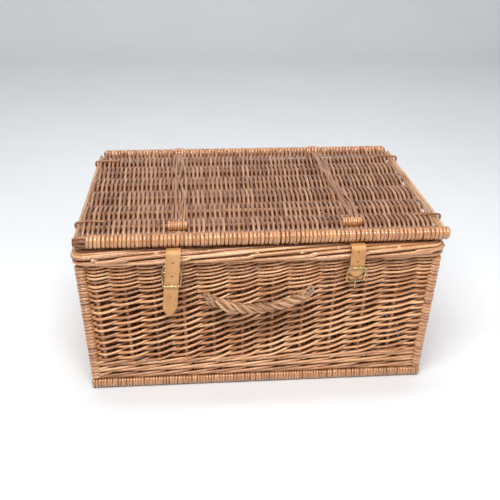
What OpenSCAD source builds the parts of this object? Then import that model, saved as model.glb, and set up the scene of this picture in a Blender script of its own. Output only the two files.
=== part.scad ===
// Wicker storage trunk
// Square-work willow hamper with a hinged lid, two leather straps with
// brass buckles and a twisted willow handle on the front.
// Units are millimetres. The base stands on z = 0, +X is the width and
// the front faces -Y.

/* [Lid] */
// Length of the woven lid panel along X, without the edge rods
lid_panel_length = 560; // [550:1:562]
// Distance between the front and back lid stick axes
lid_stick_span = 372; // [371:0.5:373]
// Height of the lid stick axes above the floor
lid_axis_height = 280; // [279.5:0.5:281]
// Sideways offset of the lid on the body, as hand weaving leaves it
lid_shift = 4; // [0:1:6]
// Outer radius of the weave wrapped round the front and back sticks
lid_roll_radius = 10.5; // [9:0.25:10.75]
// Diameter of the front and back lid sticks
lid_stick_diameter = 13; // [11:0.5:14]
// Diameter of the six inner lid sticks
lid_inner_diameter = 8; // [6:0.5:8]
// Thickness of the woven lid panel
lid_panel_thickness = 17; // [15:0.5:17.5]

/* [Body] */
// Half width of the wall centre plane at floor level
wall_half_width = 273.3; // [272:0.1:274]
// Half depth of the wall centre plane at floor level
wall_half_depth = 176.8; // [176:0.1:177]
// Outward lean of the walls in degrees
wall_lean = 1.4; // [1.2:0.1:1.5]
// Thickness of the woven walls
wall_thickness = 14; // [12:0.5:14.5]
// Top of the waling band above the floor
wale_top = 57; // [45:1:70]
// Thickness of the waling band
wale_thickness = 18; // [16:0.5:18]
// Diameter of the wall stakes
stake_diameter = 7; // [5:0.5:7]
// Diameter of the wrapped corner posts
post_diameter = 17; // [14:0.5:17.5]

/* [Base] */
// Length of the woven base panel along X
base_length = 559; // [550:1:562]
// Depth of the woven base panel along Y
base_depth = 375; // [370:1:378]
// Thickness of the woven base panel
base_thickness = 18; // [16:0.5:18]

/* [Border] */
// Distance of the border centre line from the middle along X
border_half_width = 281; // [280:0.5:282]
// Bottom of the rolled border above the floor
border_bottom = 239.5; // [239:0.5:239.5]
// Width of the rolled border
border_width = 24; // [20:0.5:24]
// Height of the rolled border
border_height = 24.5; // [24.5:0.25:25]

/* [Straps and buckles] */
// Width of the leather straps
strap_width = 22; // [18:0.5:22]
// Thickness of the leather straps
strap_thickness = 2.4; // [1.8:0.1:2.4]
// Hanging length of the left strap
left_strap_length = 110; // [95:1:125]
// Hanging length of the right strap
right_strap_length = 48; // [40:1:60]
// Sideways tilt of the left strap in degrees
left_strap_tilt = 5.5; // [4:0.5:6]
// Brass wire diameter of the buckle frames
buckle_wire = 2.8; // [2.2:0.1:2.8]
// Distance from the centre bar to the long end bar of a buckle
buckle_long = 22; // [21.5:0.25:22]
// Distance from the centre bar to the short end bar of a buckle
buckle_short = 10.5; // [9:0.25:10.5]

/* [Handle] */
// Diameter of the twisted willow rope
rope_diameter = 18; // [14:0.5:18.5]
// Half of the distance between the rope ends
handle_half_span = 76.5; // [70:0.5:78]
// Depth of the hanging bow of the rope
handle_sag = 22; // [16:1:30]

/* [Hidden] */
$fn = 48;
gap = 0.3;

// walls
lean_slope = tan(wall_lean);
front_stakes = [for (i = [0:10]) -254 + 43.2 * i + 0.4 * i * i];
back_stakes = [for (i = [-5:5]) 50.5 * i];
end_stakes = [for (i = [-3:3]) 45.25 * i];
wale_bottom = 18.6;
wall_top = border_bottom - 0.6;
border_half_depth = 186;
border_radius = border_width / 2;
border_middle = border_bottom + border_height / 2;

// lid, in its own frame before the sideways shift
stick_y = lid_stick_span / 2;
inner_sticks = [-140, -88, -30, 30, 88, 140];
lid_left_end = -283.2;
lid_right_end = lid_left_end + lid_panel_length + 0.4;
panel_low = lid_axis_height - lid_panel_thickness / 2;
panel_high = lid_axis_height + lid_panel_thickness / 2;

// straps, in the common frame
strap_y = -203.6;
strap_z = 265;
left_strap_x = -135;
right_strap_x = 148;
anchor_low = 266.2;
lash_stick_y = -140;
left_lash_x = -129;
right_lash_x = 149;
lash_width = 32;
lash_radius = 8.7;

// hinges
left_hinge_x = -130;
right_hinge_x = 137;
ring_radius = 15.2;
ring_top_radius = 9.7;
ring_wire = 2.6;
ring_pitch = 6.2;
ring_bottom = border_bottom + 12;

// lanes left by the hinge tails: start x, end x
left_lane_rods = [[-137, -131], [-128, -116]];
right_lane_rods = [[131, 134], [142, 153]];
lane_back = 164;
lane_front = -127;
lane_radius = 2.5;
lane_z = lid_axis_height + lid_inner_diameter / 2 + gap + lane_radius;

// buckles
bar_y = strap_y + 4.75;
left_bar_z = 231;
right_bar_z = 213;
left_buckle_x = -139.6;
right_buckle_x = 148;
buckle_half = 12.4 + buckle_wire / 2;
buckle_tilt = asin(7.65 / buckle_long);
loop_bore = buckle_wire / 2 + 0.35;
loop_radius = 3.35;
chape_width = 20;
recess_y = -186.5;

// handle
handle_x = -4.5;
handle_y = -206.5;
handle_z = 187;
handle_roll = 2.5;
root_diameter = 12;

// ---- shared shapes ----

// round rod along X from xa to xb
module rod_x(xa, xb, d) {
  translate([xa, 0, 0]) rotate([0, 90, 0]) cylinder(h = xb - xa, d = d);
}

// round rod along Y from ya to yb
module rod_y(ya, yb, d) {
  translate([0, yb, 0]) rotate([90, 0, 0]) cylinder(h = yb - ya, d = d);
}

// box from one corner to the other
module span(lo, hi) {
  translate(lo) cube([hi[0] - lo[0], hi[1] - lo[1], hi[2] - lo[2]]);
}

// local wall frame: x along the wall, -y outward, z up; 0 front, 1 right, 2 back, 3 left
module on_side(i) {
  rotate([0, 0, 90 * i])
    translate([0, -(i % 2 == 0 ? wall_half_depth : wall_half_width), 0])
      rotate([wall_lean, 0, 0]) children();
}

// leaning panel between the corner posts with one bore per stake
module side_panel(i, z0, z1, thick, inset, stakes) {
  reach = i % 2 == 0 ? wall_half_width : wall_half_depth;
  a = reach - inset + z0 * lean_slope;
  b = reach - inset + z1 * lean_slope;
  on_side(i) difference() {
    rotate([90, 0, 0]) linear_extrude(height = thick, center = true)
      polygon([[-a, z0], [a, z0], [b, z1], [-b, z1]]);
    for (x = stakes) translate([x, 0, z0 - 2])
      cylinder(h = z1 - z0 + 4, d = stake_diameter + 0.5);
  }
}

module stake_row(i, stakes) {
  on_side(i) for (x = stakes) translate([x, 0, wale_bottom])
    cylinder(h = wall_top - wale_bottom, d = stake_diameter);
}

module wale(i, stakes) {
  side_panel(i, wale_bottom, wale_top, wale_thickness, wale_thickness / 2 + 0.5, stakes);
}

module weave(i, stakes) {
  side_panel(i, wale_top + 0.3, wall_top, wall_thickness, post_diameter / 2 + 0.5, stakes);
}

// leaning corner post, sx and sy pick the corner
module post(sx, sy) {
  translate([sx * wall_half_width, sy * wall_half_depth, 0])
    rotate([0, atan(sqrt(2) * lean_slope), atan2(sy, sx)])
      translate([0, 0, wale_bottom + 0.2]) cylinder(h = wall_top - wale_bottom - 0.4, d = post_diameter);
}

// one mitred side of the rolled border
module border_side(i) {
  along = i % 2 == 0 ? border_half_width : border_half_depth;
  away = i % 2 == 0 ? border_half_depth : border_half_width;
  r = border_radius;
  rotate([0, 0, 90 * i]) intersection() {
    translate([-along - r, -away, 0]) rotate([90, 0, 90])
      linear_extrude(height = 2 * (along + r)) union() {
        translate([0, border_bottom + r]) circle(r = r);
        translate([0, border_bottom + border_height - r]) circle(r = r);
        translate([-r, border_bottom + r]) square([2 * r, border_height - 2 * r]);
      }
    translate([0, 0, border_bottom - 1]) linear_extrude(height = border_height + 2)
      polygon([[-along - r + 0.2, -away - r], [along + r - 0.2, -away - r],
               [along - r - 0.2, -away + r], [-along + r + 0.2, -away + r]]);
  }
}

// three long willow rings round the back lid stick and the back border
module hinge_rings(x) {
  $fn = 32;
  rise = lid_axis_height - ring_bottom;
  b = asin((ring_radius - ring_top_radius) / rise);
  for (k = [-1:1]) translate([x + k * ring_pitch, border_half_depth, 0]) rotate([0, 0, 90]) {
    translate([0, 0, lid_axis_height]) rotate([90, 0, 0]) rotate([0, 0, b])
      rotate_extrude(angle = 180 - 2 * b) translate([ring_top_radius, 0]) circle(r = ring_wire);
    translate([0, 0, ring_bottom]) rotate([-90, 0, 0]) rotate([0, 0, -b])
      rotate_extrude(angle = 180 + 2 * b) translate([ring_radius, 0]) circle(r = ring_wire);
    for (s = [-1, 1])
      translate([s * ring_radius * cos(b), 0, ring_bottom + ring_radius * sin(b)])
        rotate([0, -s * b, 0]) translate([0, 0, -1]) cylinder(h = rise * cos(b) + 2, r = ring_wire - 0.1);
  }
}

// space the hinge rings need in the lid panel at any angle of the lid
module hinge_slots(x) {
  translate([0, stick_y, lid_axis_height]) rod_x(x - 9.4, x + 9.4, 34.4);
}

// leather leg of a chape, dir is the angle of the leg below the horizontal
module chape_leg(x, z, dir, w, t, slot) {
  translate([x, bar_y, z]) rotate([-dir, 0, 0]) difference() {
    translate([-w / 2, 2.4, -t / 2]) cube([w, slot > 0 ? 15.4 : 16, t]);
    if (slot > 0) translate([-slot / 2, 0, -t]) cube([slot, 8.5, 2 * t]);
  }
}

module chape(x, z, dir) {
  difference() {
    union() {
      chape_leg(x, z, dir, chape_width, 3.2, 4.4);
      translate([x, bar_y, z]) rod_x(-chape_width / 2, chape_width / 2, 2 * loop_radius);
    }
    translate([x, bar_y, z]) rod_x(-chape_width, chape_width, 2 * loop_bore);
    translate([x - 2.2, bar_y - 5, z - 5]) cube([4.4, 10, 10]);
  }
}

// open brass frame: long end bar at angle dir from straight down towards the front
module buckle_frame(x, z, dir) {
  r = buckle_wire / 2;
  translate([x, bar_y, z]) rotate([-dir, 0, 0]) {
    rod_x(-buckle_half, buckle_half, buckle_wire);
    for (d = [-buckle_long, buckle_short]) {
      translate([0, 0, d]) rod_x(-buckle_half, buckle_half, buckle_wire);
      for (s = [-1, 1]) translate([s * buckle_half, 0, d]) sphere(r = r);
    }
    for (s = [-1, 1]) translate([s * buckle_half, 0, -buckle_long])
      cylinder(h = buckle_long + buckle_short, r = r);
  }
}

module prong_shape(x, z, long) {
  translate([x, bar_y, z]) difference() {
    union() {
      rod_x(-1.6, 1.6, 6);
      translate([0, 0, -long]) cylinder(h = long, r = 1.1);
      translate([0, 0, -long]) sphere(r = 1.1);
    }
    rod_x(-4, 4, 2 * loop_bore);
  }
}

// flat strap hanging from z = 0, leaning sideways by tilt, with a round tip and punched holes
module strap_shape(long, holes, tilt) {
  w = strap_width;
  t = strap_thickness;
  d = 14;
  e = long - w / 2;
  c = cos(tilt);
  n = sin(tilt);
  rod_x(-w / 2, w / 2, t);
  rotate([90, 0, 0]) linear_extrude(height = t, center = true) difference() {
    union() {
      polygon([[-w / 2, -3], [-w / 2, 0], [w / 2, 0], [w / 2, -3],
               [w / 2 * c - d * n, -w / 2 * n - d * c], [w / 2 * c - e * n, -w / 2 * n - e * c],
               [-w / 2 * c - e * n, w / 2 * n - e * c], [-w / 2 * c - d * n, w / 2 * n - d * c]]);
      rotate(-tilt) translate([0, -e]) circle(d = w);
    }
    for (h = holes) translate([-h * n, -h * c]) circle(d = 3.4);
  }
}

module strap_anchor(x) {
  w = strap_width;
  t = strap_thickness;
  span([x - w / 2, strap_y + 1.6, anchor_low], [x + w / 2, lash_stick_y - 9.2, anchor_low + t]);
  span([x - w / 2, lash_stick_y - 9.2 - t, anchor_low], [x + w / 2, lash_stick_y - 9.2, lid_axis_height - 1]);
}

module lashing(x) {
  translate([x, lash_stick_y, lid_axis_height]) difference() {
    rod_x(-lash_width / 2, lash_width / 2, 2 * lash_radius);
    rod_x(-lash_width, lash_width, lid_inner_diameter + 0.5);
  }
}

module lane_rod(xa, xb, r) {
  run = lane_back - lane_front;
  translate([(xa + xb) / 2, (lane_back + lane_front) / 2, lane_z])
    rotate([0, 0, atan((xa - xb) / run) * -1]) rotate([90, 0, 0])
      cylinder(h = run, r = r, center = true);
}

module lane_groove(xa, xb) {
  run = lane_back - lane_front;
  translate([(xa + xb) / 2, (lane_back + lane_front) / 2, lane_z + 5 - lane_radius - 0.2])
    rotate([0, 0, atan((xa - xb) / run) * -1])
      cube([2 * lane_radius + 0.8, run + 6, 10], center = true);
}

// thin rod bent over the edge rod, s = -1 left end, 1 right end
module tie(s, y) {
  x = s < 0 ? lid_left_end - 3.3 : lid_right_end + 9.6;
  z = lid_axis_height;
  translate([x, y, z]) {
    rotate([90, 0, 0]) rotate([0, 0, s < 0 ? 90 : 0])
      rotate_extrude(angle = 90) translate([5.3, 0]) circle(r = 2);
    translate([0, 0, 5.3]) rod_x(s < 0 ? 0 : -38, s < 0 ? 38 : 0, 4);
    translate([s * 5.3, 0, -6]) cylinder(h = 6, r = 2);
  }
}

// ---- base ----

module base_weave() color("#b98a52") difference() {
  translate([-base_length / 2, 0, 0]) rotate([90, 0, 90]) linear_extrude(height = base_length) union() {
    r = base_thickness / 2;
    for (s = [-1, 1]) translate([s * (base_depth / 2 - r), r]) circle(r = r);
    translate([-base_depth / 2 + r, 0]) square([base_depth - 2 * r, base_thickness]);
  }
  for (s = [-1, 1]) translate([0, s * (base_depth / 2 - base_thickness / 2), base_thickness / 2])
    rod_x(-300, 300, 11.4);
  for (y = [-135, -84, -29, 29, 84, 135]) translate([0, y, base_thickness / 2]) rod_x(-300, 300, 8.4);
}

module base_front_stick() color("#a87a45")
  translate([0, -base_depth / 2 + base_thickness / 2, base_thickness / 2]) rod_x(-282, 282, 11);

module base_back_stick() color("#a87a45")
  translate([0, base_depth / 2 - base_thickness / 2, base_thickness / 2]) rod_x(-282, 282, 11);

module base_inner_sticks() color("#a87a45")
  for (y = [-135, -84, -29, 29, 84, 135])
    translate([0, y, base_thickness / 2]) rod_x(-base_length / 2, base_length / 2, 8);

// ---- walls ----

module post_front_left() color("#b5854c") post(-1, -1);
module post_front_right() color("#b5854c") post(1, -1);
module post_back_left() color("#b5854c") post(-1, 1);
module post_back_right() color("#b5854c") post(1, 1);

module stakes_front() color("#9c713e") stake_row(0, front_stakes);
module stakes_back() color("#9c713e") stake_row(2, back_stakes);
module stakes_left() color("#9c713e") stake_row(3, end_stakes);
module stakes_right() color("#9c713e") stake_row(1, end_stakes);

module wale_front() color("#b07f47") wale(0, front_stakes);
module wale_back() color("#b07f47") wale(2, back_stakes);
module wale_left() color("#b07f47") wale(3, end_stakes);
module wale_right() color("#b07f47") wale(1, end_stakes);

module weave_front() color("#c2935a") difference() {
  weave(0, front_stakes);
  for (b = [[left_buckle_x, left_bar_z], [right_buckle_x, right_bar_z]])
    span([b[0] - 17.5, -200, b[1] - 11.5], [b[0] + 17.5, recess_y, b[1] + 11.5]);
  chape_leg(left_buckle_x, left_bar_z, 45, chape_width + 0.5, 3.7, 0);
  chape_leg(right_buckle_x, right_bar_z, -45, chape_width + 0.5, 3.7, 0);
  for (h = [[handle_x - 81.5, handle_z - 3.4], [handle_x + 83.5, handle_z + 3.5]])
    translate([h[0], 0, h[1]]) rod_y(-210, -160, root_diameter + 0.5);
}

module weave_back() color("#c2935a") difference() {
  weave(2, back_stakes);
  for (x = [left_hinge_x, right_hinge_x]) span([x - 9.4, 160, ring_bottom - ring_radius - ring_wire - 0.5], [x + 9.4, 210, 250]);
}

module weave_left() color("#c2935a") weave(3, end_stakes);
module weave_right() color("#c2935a") weave(1, end_stakes);

module border_front() color("#b28349") border_side(0);
module border_back() color("#b28349") border_side(2);
module border_left() color("#b28349") border_side(3);
module border_right() color("#b28349") border_side(1);

module hinge_ring_left() color("#a67840") hinge_rings(left_hinge_x);
module hinge_ring_right() color("#a67840") hinge_rings(right_hinge_x);

module chape_left() color("#c08a5c") chape(left_buckle_x, left_bar_z, 45);
module chape_right() color("#c08a5c") chape(right_buckle_x, right_bar_z, -45);

module handle_root_left() color("#9b8468")
  translate([handle_x - 81.5, 0, handle_z - 3.4]) rod_y(-196.6, -174, root_diameter);

module handle_root_right() color("#9b8468")
  translate([handle_x + 83.5, 0, handle_z + 3.5]) rod_y(-196.6, -174, root_diameter);

// ---- lid ----

module lid_weave() color("#a98455") difference() {
  translate([lid_shift + lid_left_end, 0, lid_axis_height]) rotate([90, 0, 90])
    linear_extrude(height = lid_panel_length + 0.4) union() {
      for (s = [-1, 1]) translate([s * stick_y, 0]) circle(r = lid_roll_radius);
      translate([-stick_y, -lid_panel_thickness / 2]) square([2 * stick_y, lid_panel_thickness]);
    }
  for (s = [-1, 1]) translate([0, s * stick_y, lid_axis_height]) rod_x(-310, 310, lid_stick_diameter + 0.5);
  for (y = inner_sticks) translate([0, y, lid_axis_height]) rod_x(-310, 310, lid_inner_diameter + 0.5);
  hinge_slots(left_hinge_x);
  hinge_slots(right_hinge_x);
  for (x = [left_lash_x, right_lash_x])
    span([x - lash_width / 2 - 0.4, lash_stick_y - 9.4, panel_low - 5], [x + lash_width / 2 + 0.4, lash_stick_y + 9.2, panel_high + 5]);
  for (x = [left_strap_x, right_strap_x])
    span([x - strap_width / 2 - 0.6, lash_stick_y - 20, panel_low - 5], [x + strap_width / 2 + 0.6, lash_stick_y - 8, panel_high + 5]);
  for (r = concat(left_lane_rods, right_lane_rods)) lane_groove(r[0], r[1]);
  for (y = [-133, 133]) {
    span([-310, y - 2.4, lid_axis_height + 3], [lid_shift + lid_left_end + 36, y + 2.4, panel_high + 5]);
    span([lid_shift + lid_right_end - 29.6, y - 2.4, lid_axis_height + 3], [310, y + 2.4, panel_high + 5]);
  }
}

module lid_front_stick() color("#9c7648")
  translate([lid_shift, -stick_y, lid_axis_height]) rod_x(-289, 289, lid_stick_diameter);

module lid_back_stick() color("#9c7648")
  translate([lid_shift, stick_y, lid_axis_height]) rod_x(-289, 289, lid_stick_diameter);

module lid_inner_sticks() color("#9c7648")
  for (y = inner_sticks) translate([lid_shift, y, lid_axis_height])
    rod_x(lid_left_end, lid_right_end, lid_inner_diameter);

module lid_edge_left() color("#cdb083")
  translate([lid_shift + lid_left_end - 3.3, 0, lid_axis_height]) rod_y(-179, 179, 6);

module lid_edge_right() color("#cdb083")
  for (d = [3.3, 9.6]) translate([lid_shift + lid_right_end + d, 0, lid_axis_height]) rod_y(-179, 179, 6);

module lid_ties() color("#b18d5a")
  for (s = [-1, 1], y = [-133, 133]) translate([lid_shift, 0, 0]) tie(s, y);

module lane_left() color("#c6a674") for (r = left_lane_rods) lane_rod(r[0], r[1], lane_radius);
module lane_right() color("#c6a674") for (r = right_lane_rods) lane_rod(r[0], r[1], lane_radius);

module lashing_left() color("#a27c4c") lashing(left_lash_x);
module lashing_right() color("#a27c4c") lashing(right_lash_x);

module strap_anchor_left() color("#c99b6e") strap_anchor(left_strap_x);
module strap_anchor_right() color("#c99b6e") strap_anchor(right_strap_x);

// ---- leather, brass and handle ----

module strap_left() color("#c99b6e")
  translate([left_strap_x, strap_y, strap_z])
    strap_shape(left_strap_length, [15, 38.5, 74.5], left_strap_tilt);

module strap_right() color("#c99b6e")
  translate([right_strap_x, strap_y, strap_z]) strap_shape(right_strap_length, [5, 22.5], 0);

module buckle_left() color("#c9b36b") buckle_frame(left_buckle_x, left_bar_z, buckle_tilt);
module buckle_right() color("#c9b36b") buckle_frame(right_buckle_x, right_bar_z, 180 - buckle_tilt);

module prong_left() color("#c9b36b") prong_shape(left_buckle_x, left_bar_z, 20);
module prong_right() color("#c9b36b") prong_shape(right_buckle_x, right_bar_z, 20);

module handle() color("#a08a6c")
  translate([handle_x, handle_y, handle_z]) rotate([0, -handle_roll, 0]) {
    rad = (handle_half_span * handle_half_span + handle_sag * handle_sag) / (2 * handle_sag);
    half = asin(handle_half_span / rad);
    translate([0, 0, rad - handle_sag]) rotate([90, 0, 0]) rotate([0, 0, -90 - half])
      rotate_extrude(angle = 2 * half) translate([rad, 0]) circle(d = rope_diameter);
    for (s = [-1, 1]) translate([s * handle_half_span, 0, 0]) rod_x(-7, 7, rope_diameter + 0.8);
  }

base_weave();
base_front_stick();
base_back_stick();
base_inner_sticks();
post_front_left();
post_front_right();
post_back_left();
post_back_right();
stakes_front();
stakes_back();
stakes_left();
stakes_right();
wale_front();
wale_back();
wale_left();
wale_right();
weave_front();
weave_back();
weave_left();
weave_right();
border_front();
border_back();
border_left();
border_right();
hinge_ring_left();
hinge_ring_right();
chape_left();
chape_right();
handle_root_left();
handle_root_right();
lid_weave();
lid_front_stick();
lid_back_stick();
lid_inner_sticks();
lid_edge_left();
lid_edge_right();
lid_ties();
lane_left();
lane_right();
lashing_left();
lashing_right();
strap_anchor_left();
strap_anchor_right();
strap_left();
strap_right();
buckle_left();
buckle_right();
prong_left();
prong_right();
handle();
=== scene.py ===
import math
import numpy as np
import bpy
import bmesh
from mathutils import Vector, Matrix


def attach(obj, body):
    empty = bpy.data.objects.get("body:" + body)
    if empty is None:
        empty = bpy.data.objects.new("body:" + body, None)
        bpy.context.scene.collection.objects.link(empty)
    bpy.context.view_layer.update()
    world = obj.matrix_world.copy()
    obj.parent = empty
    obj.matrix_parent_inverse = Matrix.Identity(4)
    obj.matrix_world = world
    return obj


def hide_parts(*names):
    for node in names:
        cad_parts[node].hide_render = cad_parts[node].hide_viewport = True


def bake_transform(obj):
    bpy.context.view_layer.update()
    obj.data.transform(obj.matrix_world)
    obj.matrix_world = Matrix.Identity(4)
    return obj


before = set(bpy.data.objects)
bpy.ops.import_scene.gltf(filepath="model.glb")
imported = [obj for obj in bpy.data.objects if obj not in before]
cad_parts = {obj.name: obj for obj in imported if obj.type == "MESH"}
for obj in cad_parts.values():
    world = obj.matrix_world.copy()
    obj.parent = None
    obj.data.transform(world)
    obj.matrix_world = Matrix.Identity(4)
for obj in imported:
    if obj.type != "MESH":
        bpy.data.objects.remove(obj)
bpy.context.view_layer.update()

MM = 0.001
rng = np.random.default_rng(614)


# ------------------------------------------------------------------ materials

def srgb(r, g, b):
    out = []
    for c in (r, g, b):
        c /= 255.0
        out.append(c / 12.92 if c <= 0.04045 else ((c + 0.055) / 1.055) ** 2.4)
    return (*out, 1.0)


class Graph:
    """Small helper round a material's node tree."""

    def __init__(self, name):
        self.mat = bpy.data.materials.new(name)
        self.mat.use_nodes = True
        self.t = self.mat.node_tree
        self.bsdf = self.t.nodes["Principled BSDF"]

    def node(self, kind, **values):
        n = self.t.nodes.new(kind)
        for k, v in values.items():
            if k in n.inputs:
                n.inputs[k].default_value = v
            else:
                setattr(n, k, v)
        return n

    def link(self, a, b):
        self.t.links.new(a, b)

    def math(self, op, a, b=None, clamp=False):
        n = self.t.nodes.new("ShaderNodeMath")
        n.operation = op
        n.use_clamp = clamp
        for i, v in enumerate((a, b)):
            if v is None:
                continue
            if isinstance(v, (int, float)):
                n.inputs[i].default_value = v
            else:
                self.link(v, n.inputs[i])
        return n.outputs[0]

    def ramp(self, fac, stops, mode="LINEAR"):
        n = self.t.nodes.new("ShaderNodeValToRGB")
        n.color_ramp.interpolation = mode
        e = n.color_ramp.elements
        while len(e) < len(stops):
            e.new(0.5)
        for el, (pos, col) in zip(e, stops):
            el.position = pos
            el.color = col
        self.link(fac, n.inputs[0])
        return n.outputs[0]

    def mix(self, fac, a, b, blend="MIX"):
        n = self.t.nodes.new("ShaderNodeMix")
        n.data_type = "RGBA"
        n.blend_type = blend
        for sock, v in ((n.inputs[0], fac), (n.inputs[6], a), (n.inputs[7], b)):
            if isinstance(v, (int, float)):
                sock.default_value = v
            elif isinstance(v, tuple):
                sock.default_value = v
            else:
                self.link(v, sock)
        return n.outputs[2]

    def combine(self, x, y, z):
        n = self.t.nodes.new("ShaderNodeCombineXYZ")
        for i, v in enumerate((x, y, z)):
            if isinstance(v, (int, float)):
                n.inputs[i].default_value = v
            else:
                self.link(v, n.inputs[i])
        return n.outputs[0]

    def noise(self, vec, scale=1.0, detail=3.0, rough=0.55):
        n = self.node("ShaderNodeTexNoise", Scale=scale, Detail=detail, Roughness=rough)
        self.link(vec, n.inputs["Vector"])
        return n.outputs["Fac"]

    def bump(self, height, strength, distance, normal=None):
        n = self.node("ShaderNodeBump", Strength=strength, Distance=distance)
        self.link(height, n.inputs["Height"])
        if normal is not None:
            self.link(normal, n.inputs["Normal"])
        return n.outputs["Normal"]


def willow(name, dark, mid, light, grey=0.0, rough=0.42, coat=0.25, shine=0.16, streak=1.0, spots=0.5, worn=(214, 180, 138), vary=0.45):
    """Varnished willow rod. The mesh attribute "fibre" holds the way along the rod in
    centimetres, the turn round it and a random number of the rod."""
    g = Graph(name)
    a = g.node("ShaderNodeAttribute", attribute_name="fibre")
    sep = g.node("ShaderNodeSeparateXYZ")
    g.link(a.outputs["Vector"], sep.inputs[0])
    along, turn, rnd = sep.outputs
    ang = g.math("MULTIPLY", turn, 2 * math.pi)
    cs, sn = g.math("COSINE", ang), g.math("SINE", ang)
    off = g.math("MULTIPLY", rnd, 91.0)
    def coords(k_along, k_round):
        return g.combine(g.math("ADD", g.math("MULTIPLY", along, k_along), off),
                         g.math("ADD", g.math("MULTIPLY", cs, k_round), off),
                         g.math("MULTIPLY", sn, k_round))
    fine = g.noise(coords(0.9, 3.6), 1.0, 4.0, 0.62)      # long fibres
    broad = g.noise(coords(0.22, 0.5), 1.0, 2.0, 0.5)     # slow change along the rod
    blotch = g.noise(coords(1.7, 1.3), 1.0, 3.0, 0.6)     # stains and varnish pools
    tone = g.math("ADD", g.math("MULTIPLY", rnd, vary), g.math("MULTIPLY", broad, 1.05 - vary))
    tone = g.math("ADD", tone, g.math("MULTIPLY", g.math("SUBTRACT", fine, 0.5), 0.55 * streak), clamp=True)
    col = g.ramp(tone, [(0.16, srgb(*dark)), (0.48, srgb(*mid)), (0.82, srgb(*light))])
    # dark buds and knots
    knot = g.ramp(blotch, [(0.60, (0, 0, 0, 1)), (0.74, (1, 1, 1, 1))])
    col = g.mix(g.math("MULTIPLY", knot, spots), col, srgb(*(int(c * 0.50) for c in dark)))
    # rubbed pale crowns, in broken streaks
    rub = g.ramp(g.math("MULTIPLY", fine, g.math("ADD", broad, 0.42)), [(0.50, (0, 0, 0, 1)), (0.66, (1, 1, 1, 1))])
    col = g.mix(g.math("MULTIPLY", rub, 0.45 * streak), col, srgb(*worn))
    if grey:
        col = g.mix(grey, col, g.mix(fine, srgb(118, 104, 88), srgb(176, 160, 138)))
    g.link(col, g.bsdf.inputs["Base Color"])
    g.link(g.ramp(fine, [(0.25, (rough + 0.16,) * 3 + (1,)), (0.75, (rough - 0.10,) * 3 + (1,))]), g.bsdf.inputs["Roughness"])
    h = g.math("ADD", g.math("MULTIPLY", fine, 1.0), g.math("MULTIPLY", knot, 0.6))
    g.link(g.bump(h, 0.55, 0.0005), g.bsdf.inputs["Normal"])
    g.bsdf.inputs["Coat Weight"].default_value = coat
    g.bsdf.inputs["Coat Roughness"].default_value = shine
    g.bsdf.inputs["Coat IOR"].default_value = 1.8 if coat > 0.5 else 1.5
    g.bsdf.inputs["Specular IOR Level"].default_value = 0.45
    return g.mat


def cut_wood(name, inner, outer):
    """The pale cut end of a rod, mottled by two blended noise textures."""
    g = Graph(name)
    a = g.node("ShaderNodeAttribute", attribute_name="fibre")
    tc = g.node("ShaderNodeTexCoord")
    n = g.noise(tc.outputs["Object"], 900.0, 3.0, 0.6)
    m = g.noise(tc.outputs["Object"], 260.0, 2.0, 0.5)
    f = g.math("ADD", g.math("MULTIPLY", n, 0.6), g.math("MULTIPLY", m, 0.4))
    g.link(g.ramp(f, [(0.36, srgb(*outer)), (0.56, srgb(*inner))]), g.bsdf.inputs["Base Color"])
    g.link(g.ramp(n, [(0.3, (0.75,) * 3 + (1,)), (0.7, (0.55,) * 3 + (1,))]), g.bsdf.inputs["Roughness"])
    g.link(g.bump(n, 0.4, 0.0004), g.bsdf.inputs["Normal"])
    return g.mat


def leather(name, base, light, dark, wear=0.5):
    g = Graph(name)
    tc = g.node("ShaderNodeTexCoord")
    obj = tc.outputs["Object"]
    vor = g.node("ShaderNodeTexVoronoi", Scale=1500.0)
    vor.feature = "DISTANCE_TO_EDGE"
    g.link(obj, vor.inputs["Vector"])
    pore = g.noise(obj, 950.0, 4.0, 0.65)
    cloud = g.noise(obj, 42.0, 4.0, 0.6)
    crease = g.noise(obj, 170.0, 5.0, 0.7)
    col = g.ramp(cloud, [(0.30, srgb(*dark)), (0.50, srgb(*base)), (0.72, srgb(*light))])
    col = g.mix(g.math("MULTIPLY", g.ramp(crease, [(0.58, (0, 0, 0, 1)), (0.70, (1, 1, 1, 1))]), 0.30), col, srgb(*(int(c * 0.62) for c in dark)))
    col = g.mix(g.math("MULTIPLY", g.ramp(pore, [(0.55, (0, 0, 0, 1)), (0.75, (1, 1, 1, 1))]), 0.22), col, srgb(*(int(c * 0.7) for c in dark)))
    edge = g.node("ShaderNodeAttribute", attribute_name="edge")
    raw = g.mix(pore, srgb(150, 104, 66), srgb(226, 190, 148))
    col = g.mix(g.math("MULTIPLY", edge.outputs["Fac"], wear), col, raw)
    g.link(col, g.bsdf.inputs["Base Color"])
    g.link(g.ramp(cloud, [(0.3, (0.62,) * 3 + (1,)), (0.7, (0.46,) * 3 + (1,))]), g.bsdf.inputs["Roughness"])
    nrm = g.bump(vor.outputs["Distance"], 0.25, 0.0004)
    nrm = g.bump(g.math("ADD", crease, g.math("MULTIPLY", pore, 0.5)), 0.35, 0.0006, nrm)
    g.link(nrm, g.bsdf.inputs["Normal"])
    g.bsdf.inputs["Specular IOR Level"].default_value = 0.35
    return g.mat


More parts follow.
